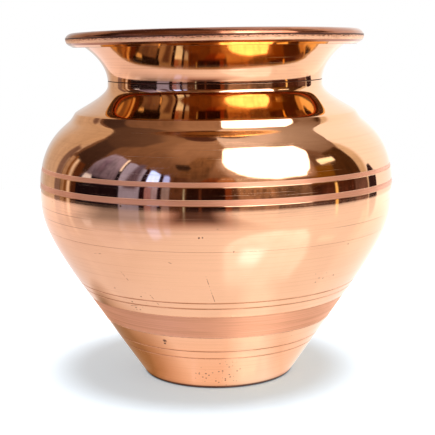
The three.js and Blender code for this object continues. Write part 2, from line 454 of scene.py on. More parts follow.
def turned_piece(name, outline, finish, materials, ease=None, waver=0.0):
    """A closed outline turned about the axis: (r cos a, r sin a, z) for each of its points and each angle a.

    ease says how much of each corner is cut back, waver how far each point moves in and out around the
    pot."""
    ease = np.full(len(outline), sizes().corner_ease) if ease is None else ease
    profile, normal, kept, source = eased(outline, ease)
    waver = np.broadcast_to(waver, len(outline))[kept]
    turn = np.arange(AROUND) * 2 * math.pi / AROUND
    round_x, round_y = np.cos(turn), np.sin(turn)
    radius = profile[:, :1] + waver[:, None] * wavering(turn)
    height = profile[:, 1:] + rim_lift(turn, profile[:, 1:])
    vertices = np.stack([radius * round_x, radius * round_y, height], -1).reshape(-1, 3)
    up = np.broadcast_to(normal[:, 1:], radius.shape)
    normals = np.stack([normal[:, :1] * round_x, normal[:, :1] * round_y, up], -1).reshape(-1, 3)
    quads = grid_quads(len(profile), AROUND, True, True)
    finish = np.repeat(np.asarray(finish)[source], AROUND)
    return fill_mesh(name, vertices, quads, normals, finish, materials)


def finish_piece(piece, slot, *nodes):
    """Puts a finished piece on the pot's one body, in place of the nodes that it stands for."""
    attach(piece, "root")
    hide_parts(*nodes)


# Material nodes


def feed(tree, socket, value):
    """Gives an input a value or the socket that feeds it. None leaves it as it is."""
    if isinstance(value, bpy.types.NodeSocket):
        tree.links.new(value, socket)
    elif value is not None:
        socket.default_value = (*value, 1) if socket.type == "RGBA" else value


def add(tree, kind, *inputs, out=0, **named):
    """Adds a node and returns one of its outputs. After a space, kind says what a Math, VectorMath or Mix
    node does. Inputs are given in order or by name, each as a value, a socket or None, and settings by
    name."""
    kind, _, mode = kind.partition(" ")
    node = tree.nodes.new("ShaderNode" + kind)
    if mode:
        setattr(node, "data_type" if kind == "Mix" else "operation", mode)
    for name, value in named.items():
        if name in node.inputs:
            feed(tree, node.inputs[name], value)
        else:
            setattr(node, name, value)
    for socket, value in zip([socket for socket in node.inputs if socket.enabled], inputs):
        feed(tree, socket, value)
    if isinstance(out, str):
        return node.outputs[out]
    results = [socket for socket in node.outputs if socket.enabled]
    return results[out] if results else None


def empty_material(name):
    """A material without nodes, and its node tree."""
    material = bpy.data.materials.new(name)
    material.use_nodes = True
    material.node_tree.nodes.clear()
    return material, material.node_tree


# The brush marks run around the pot, a quarter turn from the tangent.
QUARTER_TURN = 0.25


def metal(name, colour, roughness, anisotropy=0.0, metallic=1.0):
    """A material with one metallic shader, brushed around the pot. Returns it with its node tree."""
    material, tree = empty_material(name)
    around = add(tree, "Tangent", direction_type="RADIAL", axis="Z")
    brushed = {"Anisotropic": anisotropy, "Anisotropic Rotation": QUARTER_TURN, "Tangent": around}
    plain = {"Base Color": colour, "Metallic": metallic, "Roughness": roughness}
    add(tree, "OutputMaterial", add(tree, "BsdfPrincipled", **plain, **brushed))
    return material, tree


def dressed(material, shade, rough, normal):
    """The material, with its shader's colour, roughness and normal fed where they aren't the same all
    over."""
    shader = material.node_tree.nodes["Principled BSDF"]
    for name, value in (("Base Color", shade), ("Roughness", rough), ("Normal", normal)):
        feed(material.node_tree, shader.inputs[name], value)
    return material


# How fast the rings of a turned face follow each other across it, as a share of how fast they do up a wall
ACROSS = 0.2


def ringed_noise(tree, pitch, run, detail=2.0):
    """Noise drawn out around the pot: about pitch long up the profile and run long around it, in metres. It
    is read at (x / run, y / run, (0.2 r + z) / pitch)."""
    x, y, z = add(tree, "SeparateXYZ", add(tree, "TexCoord", out="Object")).node.outputs
    radius = add(tree, "VectorMath LENGTH", add(tree, "CombineXYZ", x, y))
    along = add(tree, "Math MULTIPLY_ADD", radius, ACROSS, z)
    drawn = add(tree, "CombineXYZ", x, y, along)
    scaled = add(tree, "VectorMath MULTIPLY", drawn, (1 / run, 1 / run, 1 / pitch))
    return add(tree, "TexNoise", scaled, 1.0, detail)


def cloudy_noise(tree, size, detail=3.0):
    """Even noise whose patches are about a size across, in metres."""
    return add(tree, "TexNoise", add(tree, "TexCoord", out="Object"), 1 / size, detail)


def pits(tree, spacing, size, share_kept):
    """1 in small round pits and 0 around them. Only a share of the cells has one."""
    cells = add(tree, "TexVoronoi", add(tree, "TexCoord", out="Object"), 1 / spacing).node.outputs
    inside = add(tree, "MapRange", cells["Distance"], size / spacing, 0.4 * size / spacing)
    kept = add(tree, "Math LESS_THAN", add(tree, "SeparateColor", cells["Color"]), share_kept)
    return add(tree, "Math MULTIPLY", inside, kept)


# The part of a mark's reach, from its middle, over which it is at its full strength
SOLID = 0.35


def near(tree, place, reach):
    """1 at a place, falling to 0 at a reach from it."""
    away = add(tree, "VectorMath DISTANCE", add(tree, "TexCoord", out="Object"), tuple(place))
    return add(tree, "MapRange", away, reach, SOLID * reach)


def scratch(tree, start, end, width):
    """1 on a straight scratch from A to B, falling to 0 at a width from it. A place p is |p - A - t u| away
    from it, where u points from A to B and t = (p - A) . u is kept between 0 and the scratch's length."""
    reach = float(np.linalg.norm(end - start))
    course = tuple((end - start) / reach)
    here = add(tree, "TexCoord", out="Object")
    apart = add(tree, "VectorMath SUBTRACT", here, tuple(start))
    along = add(tree, "MapRange", add(tree, "VectorMath DOT_PRODUCT", apart, course), 0, reach, 0, reach)
    foot = add(tree, "VectorMath MULTIPLY_ADD", along, course, tuple(start))
    return add(tree, "MapRange", add(tree, "VectorMath DISTANCE", here, foot), width, SOLID * width)


def turned_scratch(tree, height, first, last, width):
    """1 on a thin arc round the pot at a height, between two angles, fading out over 8 degrees at its
    ends."""
    x, y, z = add(tree, "SeparateXYZ", add(tree, "TexCoord", out="Object")).node.outputs
    off = add(tree, "Math ABSOLUTE", add(tree, "Math SUBTRACT", z, height))
    turn = add(tree, "Math ARCTAN2", x, add(tree, "Math MULTIPLY", y, -1.0))
    first, last, fade = math.radians(first), math.radians(last), math.radians(8)
    started = add(tree, "MapRange", turn, first, first + fade)
    ended = add(tree, "MapRange", turn, last, last - fade)
    deep = add(tree, "MapRange", off, width, 0.3 * width)
    return add(tree, "Math MULTIPLY", deep, add(tree, "Math MULTIPLY", started, ended))


def highest(tree, first, *others):
    """The highest of some values."""
    for value in others:
        first = add(tree, "Math MAXIMUM", first, value)
    return first


def on_bowl(angle, height):
    """(r sin a, -r cos a, z): the place on the bowls at an angle from the front in degrees and a height in
    mm."""
    radius, turn = point_at(body_face(sizes()), height * MM)[0], math.radians(angle)
    return np.array([radius * math.sin(turn), -radius * math.cos(turn), height * MM])


# Materials


# Marks of wear, by the angle from the front in degrees and the height in mm. Nicks and pitted patches have a
# size in mm, scratches two ends, and turned scratches a height and two angles.
NICKS = (
    (-26.6, 19.3, 0.9), (-27.2, 18.2, 0.6), (-4.0, 58.3, 0.3), (-5.0, 58.2, 0.35), (4.9, 53.6, 0.3),
    (-28.4, 67.2, 0.45), (-39.6, 38.4, 0.3), (-28.7, 36.5, 0.3), (44.8, 52.3, 0.3), (3.7, 29.2, 0.3),
)
PITTED = (
    (1, 6, 9), (-8, 5.5, 5), (10, 7, 4), (37, 42, 3.5), (43, 41.5, 3), (-33, 33, 4), (-27, 36, 3),
)
SCRATCHES = (
    (-3.5, 45.2, -2.2, 40.4), (-2.3, 40.6, -0.9, 35.9), (-32.8, 45.1, -31.2, 42.2),
    (-36.8, 32.2, -32.3, 32.6), (-15.8, 50.3, -13.9, 49.6), (-24.5, 37.5, -22.0, 33.5),
    (-42.0, 50.5, -38.0, 50.9),
)
TURNED_SCRATCHES = (
    (61.9, -80, -40), (58.5, -72, -38), (58.7, 34, 66), (63.4, 62, 88), (47.2, 120, 170), (60.3, 140, 178),
    (39.4, -150, -110),
)
SCRATCH_WIDTH = 0.14 * MM
# A painted contact shade darkens the foot fully up to the first height, and fades out by the second.
FOOT_SHADE_FULL, FOOT_SHADE_END = 0.9 * MM, 1.2 * MM


def scratches_and_foot_shade(tree):
    """1 in the scratches, straight and turned, and in a painted contact shade along the bottom of the foot, 0
    on the sheet around them."""
    marks = [scratch(tree, on_bowl(*row[:2]), on_bowl(*row[2:]), SCRATCH_WIDTH) for row in SCRATCHES]
    arcs = [turned_scratch(tree, row[0] * MM, *row[1:], SCRATCH_WIDTH) for row in TURNED_SCRATCHES]
    broken = add(tree, "MapRange", cloudy_noise(tree, 0.9 * MM, 1), 0.46, 0.56)
    straight = add(tree, "Math MULTIPLY", highest(tree, *marks), broken)
    turned_ones = add(tree, "Math MULTIPLY", highest(tree, *arcs), 0.6)
    high = add(tree, "SeparateXYZ", add(tree, "TexCoord", out="Object"), out="Z")
    # The last term is the painted contact shade along the bottom of the foot.
    return highest(tree, straight, turned_ones, add(tree, "MapRange", high, FOOT_SHADE_END, FOOT_SHADE_FULL, 0, 1.1))


def dirt_in_pits(tree):
    """1 in the nicks and pits that hold dirt: close together in the pitted patches, and few elsewhere."""
    zones = highest(tree, *(near(tree, on_bowl(*row[:2]), row[2] * MM) for row in PITTED))
    dense = add(tree, "Math MULTIPLY", pits(tree, 1.15 * MM, 0.36 * MM, 0.5), zones)
    sparse = add(tree, "Math MULTIPLY", pits(tree, 6 * MM, 0.26 * MM, 0.16), 0.6)
    nicks = highest(tree, *(near(tree, on_bowl(*row[:2]), row[2] * MM) for row in NICKS))
    torn = add(tree, "MapRange", cloudy_noise(tree, 0.5 * MM), 0.3, 0.45)
    return highest(tree, dense, sparse, add(tree, "Math MULTIPLY", nicks, torn))


def polished_copper(name, colour, swell, dull):
    """Copper sheet spun on a lathe and buffed. It gives the eye a warm mirror with fine rings, so that a
    bright window is drawn out a little up and down, with a few scratches, nicks and pits and the brown clouds
    that the buff left. The spinning tool left rings, which swell by a few micrometres. Along the bottom of
    the foot the groove colour is a painted contact shade."""
    c = colours()
    material, tree = metal(name, colour, 0.05, 0.9)
    clouds = add(tree, "MapRange", cloudy_noise(tree, 22 * MM), 0.45, 0.8, 0, 0.12)
    fine = ringed_noise(tree, 0.14 * MM, 40 * MM, 2)
    rings = ringed_noise(tree, 0.5 * MM, 50 * MM, 3)
    lines, dirt = scratches_and_foot_shade(tree), dirt_in_pits(tree)
    shade = add(tree, "Mix RGBA", clouds, colour, c.tarnish)
    shade = add(tree, "Mix RGBA", add(tree, "MapRange", rings, 0.5, 0.8, 0, 0.13), shade, c.tarnish)
    # Scratches in the groove colour, and the same colour along the bottom of the foot as a painted contact
    # shade.
    shade = add(tree, "Mix RGBA", add(tree, "Math MULTIPLY", lines, 0.7), shade, c.groove)
    shade = add(tree, "Mix RGBA", add(tree, "Math MULTIPLY", dirt, 0.95), shade, c.pit)
    brushed = add(tree, "MapRange", fine, 0.62, 0.76, 0, 0.32)
    worn = add(tree, "MapRange", rings, 0.3, 0.75, 0.035 * dull, 0.09 * dull)
    dusty = add(tree, "Math MULTIPLY", dirt, 0.5)
    rough = highest(tree, worn, brushed, dusty, add(tree, "Math MULTIPLY", lines, 0.35))
    normal = add(tree, "Bump", Height=cloudy_noise(tree, 14 * MM, 1), Distance=0.012 * MM)
    normal = add(tree, "Bump", Height=ringed_noise(tree, 5 * MM, 90 * MM, 1), Distance=swell, Normal=normal)
    normal = add(tree, "Bump", Height=rings, Distance=0.0009 * MM, Normal=normal)
    normal = add(tree, "Bump", Height=dirt, Distance=-0.03 * MM, Normal=normal)
    return dressed(material, shade, rough, normal)


def bowl_copper():
    """The buffed sheet of the two bowls, rosy where it shows something white."""
    return polished_copper("buffed spun copper, bowls", colours().polished, 0.003 * MM, 1)


def neck_copper():
    """The buffed sheet of the neck, a little deeper in colour than the bowls, and a little duller."""
    return polished_copper("buffed spun copper, neck", colours().neck, 0.09 * MM, 1.2)


def satin_copper(name, colour, rough, metallic):
    """Copper turned again with a worn tool. Its fine grooves run around the pot, so it shows every lamp as a
    streak up and down, and keeps the lamp's width."""
    material, tree = metal(name, colour, rough, 0.93, metallic)
    grooves = ringed_noise(tree, 0.3 * MM, 45 * MM, 3)
    patches = ringed_noise(tree, 1.8 * MM, 22 * MM, 2)
    shade = add(tree, "Mix RGBA", add(tree, "MapRange", grooves, 0.48, 0.72, 0, 0.5), colour, colours().line)
    shade = add(tree, "Mix RGBA", add(tree, "MapRange", patches, 0.5, 0.8, 0, 0.35), shade, colours().line)
    roughness = add(tree, "MapRange", grooves, 0.3, 0.7, rough - 0.06, rough + 0.08)
    return dressed(material, shade, roughness, add(tree, "Bump", Height=grooves, Distance=0.012 * MM))


def matt_band_copper():
    """The wide band on the lower wall, turned with a coarse tool, which looks matt."""
    return satin_copper("matt turned copper", colours().satin, 0.57, 0.8)


def belly_band_copper():
    """The two narrow bands above the belly, turned finer, which still show where the dark and the light
    are."""
    return satin_copper("satin turned copper", colours().belly_band, 0.42, 0.6)


def groove_and_foot_shade_copper():
    """Copper in the bottom of a joint, brown with tarnish and old polish, and hardly metallic. Along the
    bottom of the foot the same dark finish is a painted contact shade."""
    c = colours()
    material, tree = metal("tarnished copper groove and painted foot shade", c.groove, 0.45, 0.5, 0.2)
    patches = add(tree, "MapRange", ringed_noise(tree, 0.6 * MM, 9 * MM, 3), 0.4, 0.75, 0, 0.4)
    shade = add(tree, "Mix RGBA", patches, c.groove, c.tarnish)
    rough = add(tree, "MapRange", patches, 0, 1, 0.55, 0.35)
    return dressed(material, shade, rough, add(tree, "Bump", Height=patches, Distance=0.02 * MM))


def line_copper():
    """Copper in a turned line. The tool left it dull and the buff didn't reach its bottom, so it shows as a
    thin brown line."""
    c = colours()
    material, tree = metal("browned turned line", c.line, 0.3, 0.7)
    patches = add(tree, "MapRange", ringed_noise(tree, 0.4 * MM, 14 * MM, 3), 0.4, 0.7, 0, 0.8)
    cleaner = add(tree, "MapRange", cloudy_noise(tree, 13 * MM, 2), 0.45, 0.6)
    shade = add(tree, "Mix RGBA", cleaner, c.line, c.satin)
    shade = add(tree, "Mix RGBA", add(tree, "Math MULTIPLY", patches, 0.7), shade, c.tarnish)
    rough = add(tree, "MapRange", patches, 0, 1, 0.25, 0.4)
    return dressed(material, shade, rough, add(tree, "Bump", Height=patches, Distance=0.01 * MM))


def inside_copper():
    """Copper sheet as it leaves the spinning tool, washed but not buffed. It shows soft rings and blurred
    light."""
    c = colours()
    material, tree = metal("unbuffed spun copper", c.inside, 0.26, 0.7)
    rings = ringed_noise(tree, 1.1 * MM, 90 * MM, 4)
    stains = add(tree, "MapRange", cloudy_noise(tree, 18 * MM, 4), 0.42, 0.75, 0, 0.4)
    shade = add(tree, "Mix RGBA", stains, c.inside, c.tarnish)
    rough = add(tree, "MapRange", rings, 0.3, 0.7, 0.2, 0.34)
    return dressed(material, shade, rough, add(tree, "Bump", Height=rings, Distance=0.012 * MM))


def torn_edge():
    """The edge under the rim's notch, torn a little where the sheet was rolled over the wire. Fine specks
    catch the light and hold dirt."""
    c = colours()
    material, tree = metal("torn edge of rolled copper", c.satin, 0.25, 0.4)
    specks = ringed_noise(tree, 0.3 * MM, 0.9 * MM, 3)
    shade = add(tree, "Mix RGBA", add(tree, "MapRange", specks, 0.5, 0.62, 0, 0.8), c.satin, c.groove)
    rough = add(tree, "MapRange", specks, 0.3, 0.6, 0.15, 0.5)
    return dressed(material, shade, rough, add(tree, "Bump", Height=specks, Distance=0.05 * MM))


def burnished_face():
    """The rim's outer face under the torn edge, rubbed smooth by hand. It is bright but blurred, with a fine
    grain."""
    c = colours()
    material, tree = metal("burnished copper of the rim", c.polished, 0.28, 0.4)
    fine = ringed_noise(tree, 0.25 * MM, 4 * MM, 3)
    shade = add(tree, "Mix RGBA", add(tree, "MapRange", fine, 0.5, 0.72, 0, 0.5), c.polished, c.line)
    rough = add(tree, "MapRange", fine, 0.3, 0.7, 0.22, 0.38)
    return dressed(material, shade, rough, add(tree, "Bump", Height=fine, Distance=0.01 * MM))


def browned_rim():
    """The rolled rim's top and the stain under its face, browned by hands and old polish, with streaks rubbed
    brighter. It still shows a window as a sharp light."""
    c = colours()
    material, tree = metal("browned copper of the rolled rim", c.browned, 0.14, 0.6)
    streaks = ringed_noise(tree, 0.35 * MM, 16 * MM, 3)
    shade = add(tree, "Mix RGBA", add(tree, "MapRange", streaks, 0.5, 0.75, 0, 0.8), c.browned, c.line)
    patches = add(tree, "MapRange", cloudy_noise(tree, 7 * MM, 2), 0.42, 0.65, 0, 0.5)
    shade = add(tree, "Mix RGBA", patches, shade, c.tarnish)
    rough = add(tree, "MapRange", streaks, 0.3, 0.7, 0.09, 0.24)
    return dressed(material, shade, rough, add(tree, "Bump", Height=streaks, Distance=0.004 * MM))


def plate_copper():
    """Rolled copper plate, cut to a disc and faced on a lathe. It is dull, with rings round its centre."""
    c = colours()
    material, tree = metal("faced copper plate", c.plate, 0.34, 0.6)
    rings = ringed_noise(tree, 0.12 * MM, 70 * MM, 3)
    stains = add(tree, "MapRange", cloudy_noise(tree, 9 * MM, 4), 0.4, 0.75, 0, 0.5)
    shade = add(tree, "Mix RGBA", stains, c.plate, c.tarnish)
    rough = add(tree, "MapRange", rings, 0.3, 0.7, 0.28, 0.44)
    return dressed(material, shade, rough, add(tree, "Bump", Height=rings, Distance=0.01 * MM))


def wire_copper():
    """Copper wire as it was drawn, gone a little brown under the rolled rim."""
    c = colours()
    material, tree = metal("drawn copper wire", c.wire, 0.36, 0.5)
    marks = ringed_noise(tree, 0.2 * MM, 30 * MM, 3)
    shade = add(tree, "Mix RGBA", add(tree, "MapRange", marks, 0.4, 0.7), c.wire, c.tarnish)
    return dressed(material, shade, None, add(tree, "Bump", Height=marks, Distance=0.004 * MM))


def filler_metal():
    """Brazing filler as it flowed and froze: pale, lumpy and a little dull."""
    c = colours()
    material, tree = metal("flowed brazing filler", c.filler, 0.35)
    lumps = cloudy_noise(tree, 2.2 * MM, 3)
    stains = add(tree, "MapRange", lumps, 0.45, 0.7, 0, 0.6)
    shade = add(tree, "Mix RGBA", stains, c.filler, c.tarnish)
    rough = add(tree, "MapRange", lumps, 0.3, 0.7, 0.5, 0.26)
    return dressed(material, shade, rough, add(tree, "Bump", Height=lumps, Distance=0.12 * MM))


made = {}


def shared(make):
    """The material that a function makes, made once."""
    if make.__name__ not in made:
        made[make.__name__] = make()
    return made[make.__name__]


# Stage


def smooth_step(value, low, high):
    """0 up to low, 1 from high, and 3t^2 - 2t^3 between them."""
    t = np.clip((value - low) / (high - low), 0, 1)
    return t * t * (3 - 2 * t)


# Values across and up in a noise, after which it repeats
LATTICE = 256


def grain(across, up, seed):
    """Soft noise from -1 to 1: random values at whole numbers, joined by smooth steps across and up."""
    lattice = np.random.default_rng(seed).uniform(-1, 1, (LATTICE, LATTICE))
    i, j = np.floor(across).astype(int), np.floor(up).astype(int)
    s, t = smooth_step(across - i, 0, 1), smooth_step(up - j, 0, 1)
    corners = [[lattice[(i + a) % LATTICE, (j + b) % LATTICE] for b in (0, 1)] for a in (0, 1)]
    low = corners[0][0] * (1 - s) + corners[1][0] * s
    high = corners[0][1] * (1 - s) + corners[1][1] * s
    return low * (1 - t) + high * t


WALLS = (
    (-25, -118, 104), (27, -115, 103), (36, -117, 105), (44, -122, 114), (50, -134, 128), (62, -150, 138),
    (75, -163, 158), (90, -181, 181),
)
SKYLIGHT = (
    (19, 38, 60), (22, 27, 61), (25, 19, 64.5), (30, 13.5, 67), (38, 7, 72), (46, 5, 79), (56, 6, 82),
    (62, 7, 66), (66, 8, 56), (69.5, 11, 34),
)

# Each thing in the room: its colours low down and high up, strength, soft edge in degrees, streaks, and rows
# of elevation, left azimuth and right azimuth in degrees. Azimuth 0 is towards the camera, and later things
# are in front.
ROOM = (
    ("#F4F6F8", "#E8E4E0", 1.0, 1, 0.0, ((-90, -181, 181), (90, -181, 181))),
    ("#DEE2E6", "#DCD4CC", 1.0, 20, 0.05, ((-90, -170, -105), (90, -170, -105))),
    ("#CDBBA8", "#CCB494", 1.0, 22, 0.14, ((-25, -146, -112), (55, -156, -112))),
    ("#FFFFFF", "#FFFAF2", 1.2, 16, 0.0, ((-90, 95, 170), (90, 95, 170))),
    ("#C8AE88", "#F0E0C4", 1.0, 5, 0.12, ((-20, 98, 111), (48, 98, 112))),
    ("#2A1C18", "#6A4A36", 1.0, 1, 0.25, WALLS[:2]),
    ("#664A38", "#8A6C54", 1.0, 1.2, 0.24, ((19, -118, 103), *WALLS[1:6])),
    ("#8C6E56", "#A28468", 1.0, 4, 0.08, ((60, -148, 137), *WALLS[6:])),
    ("#8C6A50", "#B4957A", 1.0, 22, 0.12,
     ((22, -8, 12), (34, -14, 12), (50, -36, 12), (62, -50, 12), (90, -80, 14))),
    ("#3C2A22", "#6E5646", 1.0, 7, 0.12,
     ((28, -110, -88), (37, -112, -90), (44, -117, -92), (50, -137, -93), (58, -150, -80),
      (70, -160, -84))),
    ("#38271F", "#4A3830", 1.0, 3, 0.2,
     ((14, -103, -91), (24, -112, -91), (36, -112, -89), (46, -119, -94))),
    ("#80644C", "#E6DACE", 1.0, 6, 0.08,
     ((34, 90, 104), (44, 84, 112), (50, 80, 128), (62, 60, 138), (90, 20, 182))),
    ("#E0D0C6", "#F2E8E2", 1.0, 8, 0.05, ((66, 14, 150), (90, 10, 182))),
    ("#6A4C34", "#8A6848", 1.0, 5, 0.45, ((22, -26, -6), (40, -22, -2), (54, -16, 2))),
    ("#80706E", "#7C6458", 1.0, 3, 0.2, ((-25, -124, -116), (30, -123, -116))),
    ("#8A6A46", "#B89E84", 1.0, 1.5, 0.45, ((-25, -116, -103), (22, -115, -103))),
    ("#6E4C28", "#8C6034", 1.0, 1.2, 0.4, ((-25, -111.5, -108.5), (24, -110.5, -108))),
    ("#C8B8A8", "#F0E4D4", 1.0, 0.8, 0.3, ((-25, -107.5, -104.5), (22, -107, -104.5))),
    ("#2A1612", "#5E3820", 1.0, 1.5, 0.3, ((-25, -103.5, -96), (21, -103, -96))),
    ("#524A60", "#A4A4CC", 1.0, 1.5, 0.42,
     ((9, -97, -66), (16, -91, -66), (26, -90, -66), (38, -86, -67), (41, -84, -76))),
    ("#5A5066", "#7C7398", 1.0, 5, 0.6, ((18, -84, -78), (34, -84, -78))),
    ("#747690", "#B0BCF0", 1.0, 1, 0.16, ((-25, -64, -47), (30, -64, -47), (36, -64, -59))),
    ("#5E5264", "#66607E", 1.0, 4, 0.4, ((8, -60, -50), (36, -55, -50))),
    ("#8C6864", "#A08090", 1.0, 1, 0.3, ((-25, -44.5, -40), (15, -44.5, -40))),
    ("#786470", "#A4A0C0", 1.0, 1, 0.3, ((-25, -40, -36), (15, -40, -36))),
    ("#90B4FF", "#7FAAFF", 3.6, 1, 0.12, ((15, -44.5, -36), (26, -44, -36), (30, -44, -42))),
    ("#846A6C", "#8C8894", 1.0, 1, 0.2, ((-25, -33.5, -28.5), (16, -33.5, -28.5))),
    ("#8CA8F8", "#88A8FF", 2.0, 1, 0.1, ((15, -33.5, -29), (23, -33.5, -29.5), (25, -33.5, -31))),
    ("#16101A", "#1C1418", 1.0, 1, 0.1, ((-25, -66.5, -64), (36, -66.5, -64))),
    ("#F4F4FA", "#FFFFFF", 1.3, 1, 0.3, ((24, -66.4, -64.6), (39, -67.5, -65.6))),
    ("#1C0A0C", "#241018", 1.0, 1, 0.1, ((-25, -48, -44.5), (20, -48, -44.5), (32, -47, -45))),
    ("#1E0E18", "#241018", 1.0, 1, 0.1, ((-25, -36.2, -33.5), (27, -36, -34))),
    ("#120C10", "#1C1218", 1.0, 1, 0.5, ((-25, -98, -62), (8, -98, -62), (13, -90, -64))),
    ("#C8D8F4", "#DCE8FF", 1.25, 1.5, 0.2, ((9, -94, -85), (14, -92, -86))),
    ("#4E3428", "#5A3C2A", 1.0, 1.5, 0.5, ((-25, -28, -19), (24, -28, -18))),
    ("#C0D0C8", "#B0B8A8", 1.0, 0.8, 0.2, ((-25, -20.2, -19.2), (12, -20, -19.2))),
    ("#1A1012", "#2A140C", 1.0, 1, 0.5, ((-25, -18.5, 6), (15, -18, 6))),
    ("#6A4030", "#4A2A1C", 1.0, 1, 0.4, ((-25, -10.5, -8.5), (12, -10.5, -9))),
    ("#5C240C", "#7A4422", 1.0, 2, 0.5, ((15, -12, 6), (20, -9, 7), (24, -5, 8))),
    ("#A8683C", "#C8966C", 1.0, 3, 0.3, ((17, 0, 12), (24, 3, 12))),
    ("#94522C", "#7A3E22", 1.0, 1, 0.3, ((-25, 5.5, 9.5), (15, 5.5, 9.5))),
    ("#4A3A34", "#6A4C3C", 1.0, 1.5, 0.5, ((-25, 9.5, 14), (11, 9.5, 14))),
    ("#806C68", "#A07C5C", 1.0, 2, 0.75, ((-25, 13.5, 42), (13, 13.5, 40))),
    ("#5E4A48", "#7C6450", 1.0, 2, 0.7, ((-25, 38, 62), (14, 38, 60))),
    ("#B49070", "#E4D4BC", 1.0, 2.5, 0.3, ((10, 13, 34), (15, 13, 42), (23, 12, 52))),
    ("#785010", "#805820", 1.0, 3, 0.3, ((9, 60, 86), (26, 65, 84))),
    ("#341C12", "#54381E", 1.0, 2, 0.35, ((-25, 66, 104), (8, 80, 104), (26, 83, 103), (38, 86, 104))),
    ("#46302E", "#4E2A18", 1.0, 2, 0.7, ((-25, 62, 96), (8, 62, 96))),
    ("#8C6A62", "#604840", 1.0, 1.5, 0.5, ((-25, 97, 112), (6, 96, 109))),
    ("#F2C060", "#FADC90", 1.15, 0.8, 0.1, ((-25, 78, 81.2), (7, 78.5, 80.3))),
    ("#281216", "#3A2A2C", 1.0, 1, 0.3, ((-25, 111, 122), (2, 111, 121), (10.5, 113, 116))),
    ("#33241C", "#3A2A20", 1.0, 2.5, 0.4, ((33, -25, -19), (36, -28, -17), (41, -30, -20))),
    ("#FFFBE2", "#FFFBE2", 1.7, 0.8, 0.0, ((26.5, 75, 89), (31, 74.5, 89), (33, 75, 77))),
    ("#C2A08C", "#D8C6B8", 1.0, 7, 0.2, ((17, 22, 66), (25, 9, 67), (38, 2, 70), (50, 2, 60))),
    ("#FFFFFF", "#FFFFFF", 3.6, 1.6, 0.3, SKYLIGHT),
    ("#FFFFFF", "#FFFFFF", 10.5, 7, 0.0, ((43, 20, 38), (57, 20, 38))),
    ("#6A4A44", "#4E3024", 1.0, 8, 0.1,
     ((38, -172, -150), (52, -172, -136), (70, -172, -128), (78, -176, -95), (84, -185, -10),
      (90, -185, 30))),
    ("#5E4440", "#4E3834", 1.0, 8, 0.1, ((78, 95, 185), (90, 60, 185))),
)


# The soft noises that streaks are the sum of, drawn out upwards, broad and fine: the share of each, its size
# across and up in degrees, and what is added to its seed
STREAKS = ((0.5, 1.3, 9, 0), (0.4, 5, 5, 100), (0.35, 1.7, 1.7, 200))


def painted_room(azimuth, elevation):
    """The light from each direction. Every thing of the room covers what is behind it by the product of four
    smooth steps, one at each of its sides, and its colour goes evenly from low to high."""
    light = np.zeros(azimuth.shape + (3,))
    for k, (low, high, strength, soft, streaks, rows) in enumerate(ROOM):
        up, left, right = np.array(rows, float).T
        from_left = smooth_step(azimuth - np.interp(elevation, up, left), -soft / 2, soft / 2)
        from_right = smooth_step(np.interp(elevation, up, right) - azimuth, -soft / 2, soft / 2)
        from_low = smooth_step(elevation - up[0], -soft / 2, soft / 2)
        from_high = smooth_step(up[-1] - elevation, -soft / 2, soft / 2)
        cover = (from_left * from_right * from_low * from_high)[..., None]
        level = np.clip((elevation - up[0]) / (up[-1] - up[0]), 0, 1)[..., None]
        colour = strength * (np.array(linear(low)) * (1 - level) + np.array(linear(high)) * level)
        streaky = sum(part * grain(azimuth / wide, elevation / tall, k + seed)
                      for part, wide, tall, seed in STREAKS)
        light = light * (1 - cover) + colour * (1 + streaks * streaky)[..., None] * cover
    return light


def directions(azimuth, elevation):
    """(sin a cos e, -cos a cos e, sin e): unit vectors for angles in degrees, with azimuth 0 towards the
    camera."""
    a, e = np.radians(azimuth), np.radians(elevation)
    return np.stack([np.sin(a) * np.cos(e), -np.cos(a) * np.cos(e), np.sin(e)], -1)


# The shares of red, green and blue that are left of light that comes by two turns off the copper, beyond
# what the copper's own colour leaves of them. They are set to match the photo, and not measured on copper.
TWICE_OFF_COPPER = (1.0, 0.89, 0.36)


def warmed(tree, colour, most=1.0):
    """A light's colour, deeper where it comes by two turns off the copper."""
    turns = add(tree, "MapRange", add(tree, "LightPath", out="Ray Depth"), 1, 2, 0, most)
    return add(tree, "Mix RGBA", turns, colour, TWICE_OFF_COPPER, blend_type="MULTIPLY")


def room_light():
    """The room's own light, as it is painted on the dome. The brightest parts are warmed a little less."""
    material, tree = empty_material("painted room light")
    material.cycles.emission_sampling = "NONE"
    painted = add(tree, "Attribute", attribute_name="room", out="Color")
    most = add(tree, "MapRange", add(tree, "SeparateColor", painted, out="Blue"), 1.5, 6, 1, 0.85)
    glow = add(tree, "Emission", warmed(tree, painted, most), 1.0)
    add(tree, "OutputMaterial", glow)
    return material


# The dome's cells across and up, its lowest elevation in degrees and the height of its middle
CELLS_ACROSS, CELLS_UP = 720, 230
DOME_FOOT = -25
DOME_MIDDLE = 70 * MM


def build_room():
    """A dome that only the metal sees, glowing with a painted room that the copper shows as a painted
    reflection: the room in front of the pot, with a wall of windows on the left and a big window above on the
    right, and pale sheets on both sides and behind."""
    across, up = np.linspace(-180, 180, CELLS_ACROSS + 1), np.linspace(DOME_FOOT, 90, CELLS_UP + 1)
    azimuth, elevation = np.meshgrid(across, up)
    away = directions(azimuth, elevation)
    points = (studio().room_radius * away + (0, 0, DOME_MIDDLE)).reshape(-1, 3)
    quads = grid_quads(CELLS_UP + 1, CELLS_ACROSS + 1, False, False)[:, TURNED_ROUND]
    inward, plain = -away.reshape(-1, 3), np.zeros(len(quads), int)
    dome = fill_mesh("room_dome", points, quads, inward, plain, [room_light()])
    colour = np.concatenate([painted_room(azimuth, elevation), np.ones(azimuth.shape + (1,))], -1)
    painted = dome.data.attributes.new("room", "FLOAT_COLOR", "POINT")
    painted.data.foreach_set("color", colour.astype(np.float32).ravel())
    dome.visible_camera = dome.visible_shadow = dome.visible_diffuse = False


def on_table(x, y):
    """A place on the table, in mm from the pot's axis."""
    return np.array([x * MM, y * MM, 0])


